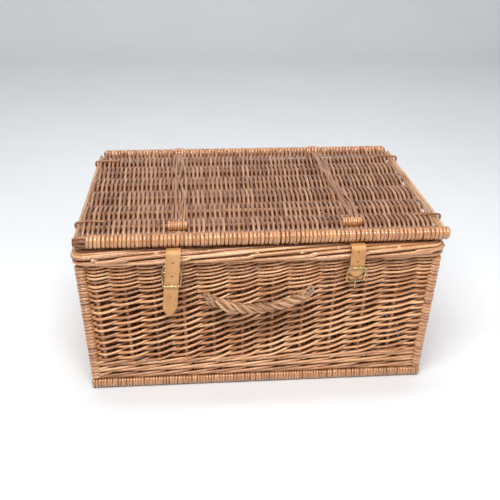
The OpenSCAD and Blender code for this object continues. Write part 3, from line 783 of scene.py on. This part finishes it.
for side, hx in zip(("left", "right"), HINGE_X):
    bb = Bundle()
    RB_, RT_, ZB_ = 15.2, 9.7, 251.5
    beta = math.asin((RB_ - RT_) / (280 - ZB_))
    for k in (-1, 0, 1):
        pts = []
        for a in np.linspace(beta, math.pi - beta, 14):
            pts.append((0, RT_ * math.cos(a), 280 + RT_ * math.sin(a)))
        for t in (0.33, 0.67):
            pts.append((0, -(RT_ + (RB_ - RT_) * t) * math.cos(beta), (280 + RT_ * math.sin(beta)) * (1 - t) + (ZB_ + RB_ * math.sin(beta)) * t))
        for a in np.linspace(math.pi - beta, 2 * math.pi + beta, 20):
            pts.append((0, RB_ * math.cos(a), ZB_ + RB_ * math.sin(a)))
        for t in (0.67, 0.33):
            pts.append((0, (RT_ + (RB_ - RT_) * t) * math.cos(beta), (280 + RT_ * math.sin(beta)) * (1 - t) + (ZB_ + RB_ * math.sin(beta)) * t))
        # the lower arc has to run from the inner side under the border to the outer side
        p = np.array(pts)
        low = p[16:36].copy()
        low[:, 1] = RB_ * np.cos(np.linspace(math.pi - beta, 2 * math.pi + beta, 20))
        low[:, 2] = ZB_ + RB_ * np.sin(np.linspace(math.pi - beta, 2 * math.pi + beta, 20))
        p[16:36] = low
        p[:, 0] = hx + k * 6.2 + wob(len(p), 0.12, 2, 400 + k)
        p[:, 1] += 186
        bb.rod(p * MM, 2.6 * MM, ref=(1, 0, 0), sides=9, closed=True, rnd=0.4 + 0.15 * k)
    place(bb.make(f"{side}_hinge_rings", [M_WRAP, M_CUT]), "basket", [f"hinge_ring_{side}"])


# ------------------------------------------------------------------ leather

def leather_strip(name, width, thick, length, holes, path, mats, tip=True, leaf=False, tip_at_end=True, crown=0.0, step=2.0, tilt=None):
    """A flat leather strip with a rounded tip and punched holes, bent along path.
    path(s) gives (y, z, ny, nz) for a distance s from its start; the face side is n."""
    cu = bpy.data.curves.new(name, "CURVE")
    cu.dimensions = "2D"
    cu.fill_mode = "BOTH"
    cu.resolution_u = 12
    w = width / 2
    pts = [(-w, 0), (w, 0)]
    if tip:
        tl = w * (1.7 if leaf else 1.25)
        cy = length - tl
        for a in np.linspace(0, math.pi, 27):
            k = math.sin(a)
            x = math.copysign(max(1 - k * k, 0.0) ** (0.8 if leaf else 0.5), math.cos(a))
            pts.append((w * x, cy + tl * k))
    else:
        pts += [(w, length), (-w, length)]
    sp = cu.splines.new("POLY")
    sp.points.add(len(pts) - 1)
    for q, (x, y) in zip(sp.points, pts):
        q.co = (x * MM, y * MM, 0, 1)
    sp.use_cyclic_u = True
    for (hx_, hy_, hr) in holes:
        sp = cu.splines.new("POLY")
        sp.points.add(15)
        for k, q in enumerate(sp.points):
            a = 2 * math.pi * k / 16
            q.co = ((hx_ + hr * math.cos(a)) * MM, (hy_ + hr * math.sin(a)) * MM, 0, 1)
        sp.use_cyclic_u = True
    cu.extrude = (thick / 2 - 0.25) * MM
    cu.bevel_depth = 0.25 * MM
    cu.bevel_resolution = 2
    tmp = bpy.data.objects.new(name + "_tmp", cu)
    bpy.context.scene.collection.objects.link(tmp)
    dg = bpy.context.evaluated_depsgraph_get()
    me = bpy.data.meshes.new_from_object(tmp.evaluated_get(dg))
    bpy.data.objects.remove(tmp)
    bpy.data.curves.remove(cu)
    bm = bmesh.new()
    bm.from_mesh(me)
    bmesh.ops.remove_doubles(bm, verts=bm.verts, dist=1e-6)
    for s in np.arange(step, length, step):
        geom = bm.verts[:] + bm.edges[:] + bm.faces[:]
        bmesh.ops.bisect_plane(bm, geom=geom, plane_co=(0, s * MM, 0), plane_no=(0, 1, 0), dist=1e-7)
    for xcut in (-w + 1.2, 0.0, w - 1.2):
        geom = bm.verts[:] + bm.edges[:] + bm.faces[:]
        bmesh.ops.bisect_plane(bm, geom=geom, plane_co=(xcut * MM, 0, 0), plane_no=(1, 0, 0), dist=1e-7)
    bm.normal_update()
    bm.to_mesh(me)
    bm.free()
    n = len(me.vertices)
    co = np.empty(n * 3)
    me.vertices.foreach_get("co", co)
    co = co.reshape(-1, 3) / MM
    edge = np.clip((np.abs(co[:, 0]) - (w - 1.0)) / 1.0, 0, 1)
    edge = np.maximum(edge, np.clip((co[:, 1] - (length - 1.0)) / 1.0, 0, 1) if tip else 0)
    side = np.clip(1 - (thick / 2 - np.abs(co[:, 2])) / (thick / 2), 0, 1)
    out = np.empty_like(co)
    P = np.array([path(s) for s in co[:, 1]])
    lift = crown * (1 - (co[:, 0] / w) ** 2)
    out[:, 0] = co[:, 0] + (np.array([tilt(s) for s in co[:, 1]]) if tilt else 0)
    out[:, 1] = P[:, 0] + P[:, 2] * (co[:, 2] + lift)
    out[:, 2] = P[:, 1] + P[:, 3] * (co[:, 2] + lift)
    me.vertices.foreach_set("co", (out * MM).ravel())
    at = me.attributes.new("edge", "FLOAT", "POINT")
    at.data.foreach_set("value", (edge * (1 - 0.4 * side)).astype(np.float32))
    me.update()
    bm = bmesh.new(); bm.from_mesh(me); bmesh.ops.recalc_face_normals(bm, faces=bm.faces); bm.to_mesh(me); bm.free()
    for p in me.polygons:
        p.use_smooth = True
    me.materials.clear()
    for m in mats:
        me.materials.append(m)
    ob = bpy.data.objects.new(name, me)
    bpy.context.scene.collection.objects.link(ob)
    es = ob.modifiers.new("edges", "EDGE_SPLIT")
    es.split_angle = math.radians(50)
    return ob


def polyline(points, rounds):
    """A path with rounded corners: returns (y, z, ny, nz) at a distance, and its length."""
    dense = [np.array(points[0], float)]
    for k in range(1, len(points) - 1):
        p0, p1, p2 = (np.array(points[q], float) for q in (k - 1, k, k + 1))
        a, c = (p0 - p1) / np.linalg.norm(p0 - p1), (p2 - p1) / np.linalg.norm(p2 - p1)
        th = math.acos(np.clip(a @ c, -1, 1))
        d = rounds[k - 1] / math.tan(th / 2)
        bis = (a + c) / np.linalg.norm(a + c)
        cen = p1 + bis * rounds[k - 1] / math.sin(th / 2)
        s0, s1 = p1 + a * d, p1 + c * d
        v0, v1 = s0 - cen, s1 - cen
        a0 = math.atan2(v0[1], v0[0]); a1 = math.atan2(v1[1], v1[0])
        da = (a1 - a0 + math.pi) % (2 * math.pi) - math.pi
        for t in np.linspace(0, 1, 14):
            dense.append(cen + rounds[k - 1] * np.array([math.cos(a0 + da * t), math.sin(a0 + da * t)]))
    dense.append(np.array(points[-1], float))
    D = np.array(dense)
    fine = [D[0]]
    for q in range(len(D) - 1):
        m = max(int(np.linalg.norm(D[q + 1] - D[q]) / 1.0), 1)
        for t in np.arange(1, m + 1) / m:
            fine.append(D[q] + (D[q + 1] - D[q]) * t)
    D = np.array(fine)
    S = np.concatenate([[0], np.cumsum(np.linalg.norm(np.diff(D, axis=0), axis=1))])
    T = np.gradient(D, axis=0)
    T /= np.linalg.norm(T, axis=1)[:, None]
    def f(s):
        y, z = np.interp(s, S, D[:, 0]), np.interp(s, S, D[:, 1])
        ty, tz = np.interp(s, S, T[:, 0]), np.interp(s, S, T[:, 1])
        L = math.hypot(ty, tz)
        return y, z, tz / L * 1.0, -ty / L * 1.0
    return f, S[-1]


for side, sx, bottom, hole_z, tl in (("left", STRAP_X[0], 155.5, (250.0, 226.7, 190.8), math.tan(math.radians(5.5))),
                                     ("right", STRAP_X[1], 217.0, (260.0, 242.5), math.tan(math.radians(0.8)))):
    # up through the lid behind the slot, under the front stick, round the bend and down
    f, L = polyline([(-150.6, 276.0), (-150.6, 267.4), (-203.6, 267.2), (-203.6, bottom)], [3.0, 4.6])
    hang = lambda s, L=L, tl=tl: -max(0.0, s - (L - (266 - bottom))) * tl
    hs = [(0 if side == "right" else 0, L - (z - bottom), 1.75) for z in hole_z]
    ob = leather_strip(f"{side}_strap_leather", 22.0, 2.2, L, hs, f, [M_LEATHER], tilt=hang, leaf=side == "left")
    for v in ob.data.vertices:
        v.co.x += sx * MM
    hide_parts(f"strap_{side}", f"strap_anchor_{side}")
    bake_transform(ob)


# ------------------------------------------------------------------ buckles

BAR_Y = -203.6 + 4.75
LONG, SHORT, HALF = 22.0, 9.6, 13.5
TILT = math.asin(7.65 / 22.0)


def turned(pts, x, z, ang):
    """Buckle frame points, local x across and z along it, into place; ang from straight down towards the front."""
    p = np.array(pts, float)
    c, s = math.cos(ang), math.sin(ang)
    y = p[:, 1] * c + p[:, 2] * s
    zz = -p[:, 1] * s + p[:, 2] * c
    return np.stack([x + p[:, 0], BAR_Y + y, z + zz], 1)


def buckle(name, x, z, ang, body, node, narrow=0.0):
    bb = Bundle()
    cr = 3.2
    pts = []
    def corner(cx, cz, a0):
        for t in np.linspace(0, math.pi / 2, 7):
            pts.append((cx + cr * math.cos(a0 + t), 0, cz + cr * math.sin(a0 + t)))
    # long end at -LONG, short end at +SHORT, sides bulge a little at the bar
    for t in np.linspace(0, 1, 6)[1:-1]:
        pts.append((-HALF + cr + (2 * HALF - 2 * cr) * t, 0.0, -LONG))
    corner(HALF - cr, -LONG + cr, -math.pi / 2)
    for t in np.linspace(0, 1, 9)[1:-1]:
        pts.append((HALF + 0.7 * math.sin(math.pi * t), 0, -LONG + cr + (LONG + SHORT - 2 * cr) * t))
    corner(HALF - cr, SHORT - cr, 0)
    for t in np.linspace(0, 1, 6)[1:-1]:
        pts.append((HALF - cr - (2 * HALF - 2 * cr) * t, 0.0, SHORT))
    corner(-HALF + cr, SHORT - cr, math.pi / 2)
    for t in np.linspace(0, 1, 9)[1:-1]:
        pts.append((-HALF - 0.7 * math.sin(math.pi * t), 0, SHORT - cr - (LONG + SHORT - 2 * cr) * t))
    corner(-HALF + cr, -LONG + cr, math.pi)
    pts = [(px - math.copysign(narrow, px) * max(pz, 0.0) / SHORT, py, pz) for px, py, pz in pts]
    p = turned(pts, x, z, ang)
    bb.rod(p * MM, 1.45 * MM, ref=(0, math.cos(ang), -math.sin(ang)), sides=12, closed=True)
    hb = HALF + 0.3
    bar = turned([(-hb + 2 * hb * t, 0, 0) for t in np.linspace(0, 1, 9)], x, z, ang)
    bb.rod(bar * MM, 1.35 * MM, ref=(0, 0, 1), sides=12)
    # the roller on the long end bar
    rol = turned([(-8.5 + 17 * t, 0, -LONG) for t in np.linspace(0, 1, 9)], x, z, ang)
    bb.rod(rol * MM, np.array([1.55] + [1.72] * 7 + [1.55]) * MM, ref=(0, 0, 1), sides=14)
    return place(bb.make(name, [M_BRASS]), body, [node])


LB = (-139.6, 231.0)
RB = (148.0, 213.0)
buckle("left_wire_buckle", *LB, TILT, "left_buckle", "buckle_left", narrow=2.0)
buckle("right_wire_buckle", *RB, math.pi - TILT, "right_buckle", "buckle_right")


def prong(name, x, z, lean, body, node):
    bb = Bundle()
    pts = [(x + 0.0, BAR_Y, z)]
    ring = []
    for a in np.linspace(math.radians(60), math.radians(330), 12):
        ring.append((x, BAR_Y + 2.35 * math.cos(a), z + 2.35 * math.sin(a)))
    tail = [(x, BAR_Y + 1.2 - 1.4 * t - lean * t, z - 2.0 - 18.0 * t) for t in np.linspace(0.05, 1, 9)]
    p = np.array(ring[::-1][-0:] if False else ring + tail)
    r = np.concatenate([np.full(len(ring), 0.85), np.linspace(1.1, 0.85, len(tail))])
    r[-1] = 0.45
    bb.rod(p * MM, r * MM, ref=(1, 0, 0), sides=10)
    return place(bb.make(name, [M_BRASS]), body, [node])


prong("left_buckle_prong", *LB, 0.0, "left_prong", "prong_left")
prong("right_buckle_prong", *RB, 0.4, "right_prong", "prong_right")


def chape(name, x, z, down, node):
    """Short leather folded round the centre bar, both ends let into the wall."""
    s = -1 if down else 1
    d = np.array([math.cos(math.radians(45)), s * math.sin(math.radians(45))])
    nrm = np.array([-d[1], d[0]])
    outer = []
    R = 2.6
    far = np.array([BAR_Y, z]) + d * 17.0
    a_dir = math.atan2(d[1], d[0])
    pts = [far + nrm * 0.95]
    for t in np.linspace(0, 1, 4)[1:]:
        pts.append(far + nrm * (0.95 + (R - 0.95) * t) - d * (17.0 * t))
    arc = []
    for t in np.linspace(0, 1, 15)[1:-1]:
        a = a_dir + math.pi / 2 + math.pi * t
        arc.append(np.array([BAR_Y, z]) + R * np.array([math.cos(a), math.sin(a)]))
    back = [np.array([BAR_Y, z]) - nrm * R + d * 17.0 * t + nrm * (R - 0.95) * t for t in np.linspace(0, 1, 4)]
    P = np.array(pts + arc + back)
    T = np.gradient(P, axis=0)
    T /= np.linalg.norm(T, axis=1)[:, None]
    N = np.stack([T[:, 1], -T[:, 0]], 1)
    bb = Bundle()
    def strip(xa, xb, sel):
        m = len(P[sel])
        xs_ = np.linspace(xa, xb, 5)
        th = 0.75
        ring = []
        for k in range(m):
            row = []
            for xx in xs_:
                q = P[sel][k] + N[sel][k] * th
                row.append((x + xx, q[0], q[1]))
            for xx in xs_[::-1]:
                q = P[sel][k] - N[sel][k] * th
                row.append((x + xx, q[0], q[1]))
            ring.append(row)
        bb.grid(np.array(ring) * MM)
    allp = slice(0, len(P))
    strip(-9.8, -2.3, allp)
    strip(2.3, 9.8, allp)
    ob = bb.make(name, [M_CHAPE])
    at = ob.data.attributes.new("edge", "FLOAT", "POINT")
    co = np.array([v.co.x for v in ob.data.vertices]) / MM - x
    at.data.foreach_set("value", np.clip((np.abs(co) - 9.0) / 0.8, 0, 1).astype(np.float32))
    return place(ob, "basket", [node])


chape("left_chape_leather", *LB, True, "chape_left")
chape("right_chape_leather", *RB, False, "chape_right")


# ------------------------------------------------------------------ handle

HX, HY, HZ, HROLL = -4.5, -206.5, 187.0, math.radians(2.5)
SPAN, SAG = 76.5, 22.0
RAD = (SPAN * SPAN + SAG * SAG) / (2 * SAG)
HALFA = math.asin(SPAN / RAD)


def arc_frame(t):
    """Centre line of the bow at t in 0..1: point, tangent, outward normal (in the plane of the bow)."""
    a = -HALFA + 2 * HALFA * t
    p = np.stack([RAD * np.sin(a), np.zeros_like(a), RAD - SAG - RAD * np.cos(a)], -1)
    T = np.stack([np.cos(a), np.zeros_like(a), np.sin(a)], -1)
    N = np.stack([np.sin(a), np.zeros_like(a), -np.cos(a)], -1)
    c, s = math.cos(HROLL), math.sin(HROLL)
    def roll(v):
        return np.stack([v[..., 0] * c - v[..., 2] * s, v[..., 1], v[..., 0] * s + v[..., 2] * c], -1)
    return roll(p) + np.array([HX, HY, HZ]), roll(T), roll(N)


bb = Bundle()
rr = np.random.default_rng(55)
n = 150
t = np.linspace(0, 1, n)
C, T, N = arc_frame(t)
Bn = np.cross(T, N)
STR, LEAD = 3, 3.6
length = 2 * HALFA * RAD
for s in range(STR):
    base = 2 * math.pi * s / STR
    for k in range(4):
        # each strand is a bundle of thin rods twisted together
        a = base + 2 * math.pi * LEAD * t + rr.normal(0, 0.03)
        off = N * np.cos(a)[:, None] + Bn * np.sin(a)[:, None]
        tang = -N * np.sin(a)[:, None] + Bn * np.cos(a)[:, None]
        a2 = 2 * math.pi * k / 4 - 2 * math.pi * 2.2 * t + rr.normal(0, 0.2)
        sub = off * np.cos(a2)[:, None] + (tang * 0.8 + T * 0.2) * np.sin(a2)[:, None]
        p = C + off * 4.3 + sub * 2.35 + wob(n, 0.12, 4, 500 + s * 5 + k)[:, None] * off
        bb.rod(p * MM, (2.25 * rr.uniform(0.9, 1.1)) * MM, ref=(0, 1, 0), sides=7, cuts=(True, True), rnd=rr.random())
# a loose rod sweeping down over the left end, and frayed ends
for e in (0, 1):
    for k in range(7):
        tt = np.linspace(0.0, rr.uniform(0.05, 0.11), 8)
        if e:
            tt = 1 - tt
        C2, T2, N2 = arc_frame(tt)
        B2 = np.cross(T2, N2)
        ang = rr.uniform(0, 2 * math.pi)
        a = ang + 2.5 * np.abs(tt - tt[0]) * 10
        off = N2 * np.cos(a)[:, None] + B2 * np.sin(a)[:, None]
        ext = (T2[0] if e else -T2[0]) * 1.0
        p = C2 + off * np.linspace(rr.uniform(6.2, 7.5), 5.0, 8)[:, None]
        p = np.vstack([p[0] + ext * rr.uniform(4, 9) + off[0] * rr.uniform(-1.6, 0.0), p])
        bb.rod(p * MM, np.linspace(rr.uniform(0.9, 1.5), 1.5, 9) * MM, ref=(0, 1, 0), sides=6, cuts=(True, False), rnd=rr.random())
sweep = np.linspace(0.038, 0.30, 26)
C3, T3, N3 = arc_frame(sweep)
B3 = np.cross(T3, N3)
aa = np.linspace(2.4, -0.4, 26)
p = C3 + (N3 * np.cos(aa)[:, None] - B3 * np.abs(np.sin(aa))[:, None]) * 8.2
bb.rod(p * MM, np.linspace(2.6, 2.1, 26) * MM, ref=(0, 1, 0), sides=8, cuts=(True, True), rnd=0.8)
place(bb.make("rope_handle", [M_ROPE, M_FRAY]), "handle_bow", ["handle"])

for side, hx, hz in (("left", HX - 81.5, HZ - 3.4), ("right", HX + 83.5, HZ + 3.5)):
    bb = Bundle()
    n = 26
    y = np.linspace(-174, -195.2, n)
    for k in range(5):
        a = 2 * math.pi * k / 5 + np.linspace(0, 2.2, n)
        p = np.stack([hx + 3.5 * np.cos(a), y, hz + 3.5 * np.sin(a)], 1)
        bb.rod(p * MM, 2.2 * MM, ref=(1, 0, 0), sides=7, cuts=(True, True), rnd=rng.random())
    place(bb.make(f"handle_{side}_root", [M_ROPE, M_FRAY]), "basket", [f"handle_root_{side}"])


# ------------------------------------------------------------------ stage, light, camera

def stage_mat(name, rgb, rough, cloth=0.0):
    g = Graph(name)
    tc = g.node("ShaderNodeTexCoord")
    n = g.noise(tc.outputs["Object"], 3.0, 3.0, 0.5)
    lo = tuple(c * 0.97 for c in rgb[:3]) + (1,)
    g.link(g.ramp(n, [(0.3, lo), (0.7, rgb)]), g.bsdf.inputs["Base Color"])
    g.bsdf.inputs["Roughness"].default_value = rough
    if cloth:
        m = g.noise(tc.outputs["Object"], 900.0, 2.0, 0.5)
        g.link(g.bump(m, cloth, 0.0005), g.bsdf.inputs["Normal"])
    return g.mat


me = bpy.data.meshes.new("studio_floor")
bm = bmesh.new()
# floor, curved up into the back wall
prof = [(-4.0, 0.0), (2.3, 0.0)]
for a in np.linspace(0, math.pi / 2, 16)[1:]:
    prof.append((2.3 + 0.7 * math.sin(a), 0.7 - 0.7 * math.cos(a)))
prof.append((3.0, 5.0))
rows = [[bm.verts.new((x, y, z)) for x in (-6.0, 6.0)] for (y, z) in prof]
for q in range(len(rows) - 1):
    bm.faces.new((rows[q][0], rows[q][1], rows[q + 1][1], rows[q + 1][0]))
bm.to_mesh(me)
bm.free()
for p in me.polygons:
    p.use_smooth = True
me.materials.append(stage_mat("studio_white", (0.77, 0.785, 0.80, 1), 0.9, 0.15))
floor = bpy.data.objects.new("studio_floor", me)
bpy.context.scene.collection.objects.link(floor)

world = bpy.data.worlds.new("studio")
world.use_nodes = True
world.node_tree.nodes["Background"].inputs[0].default_value = (0.93, 0.96, 1.0, 1)
world.node_tree.nodes["Background"].inputs[1].default_value = 0.47
bpy.context.scene.world = world


def area(name, loc, target, size, power, col=(1, 1, 1)):
    li = bpy.data.lights.new(name, "AREA")
    li.shape = "RECTANGLE"
    li.size, li.size_y = size
    li.energy = power
    li.color = col
    ob = bpy.data.objects.new(name, li)
    bpy.context.scene.collection.objects.link(ob)
    ob.location = loc
    d = Vector(target) - Vector(loc)
    ob.rotation_euler = d.to_track_quat("-Z", "Y").to_euler()
    return ob


area("key_soft", (-0.3, -1.1, 1.98), (0, 0, 0.15), (1.8, 0.26), 42, (1, 0.985, 0.965))
area("top_soft", (0.0, 0.25, 2.6), (0, 0, 0.2), (1.6, 0.5), 24)
area("fill_soft", (1.9, -1.4, 1.1), (0, 0, 0.2), (1.4, 1.4), 8)

cam = bpy.data.cameras.new("camera")
cam.lens = 675.44 / 500.0 * 36.0
cam.sensor_width = 36.0
cam.clip_start = 0.01
ob = bpy.data.objects.new("camera", cam)
bpy.context.scene.collection.objects.link(ob)
yaw, pitch, roll = math.radians(4.9185), math.radians(28.268), math.radians(0.7661)
f = Vector((math.sin(yaw) * math.cos(pitch), math.cos(yaw) * math.cos(pitch), -math.sin(pitch)))
r0 = Vector((math.cos(yaw), -math.sin(yaw), 0))
u0 = r0.cross(f)
r1 = math.cos(roll) * r0 + math.sin(roll) * u0
u1 = -math.sin(roll) * r0 + math.cos(roll) * u0
m = Matrix(((r1.x, u1.x, -f.x, -0.0967), (r1.y, u1.y, -f.y, -1.0980), (r1.z, u1.z, -f.z, 0.7513), (0, 0, 0, 1)))
ob.matrix_world = m
bpy.context.scene.camera = ob
bpy.context.scene.view_settings.view_transform = "Standard"
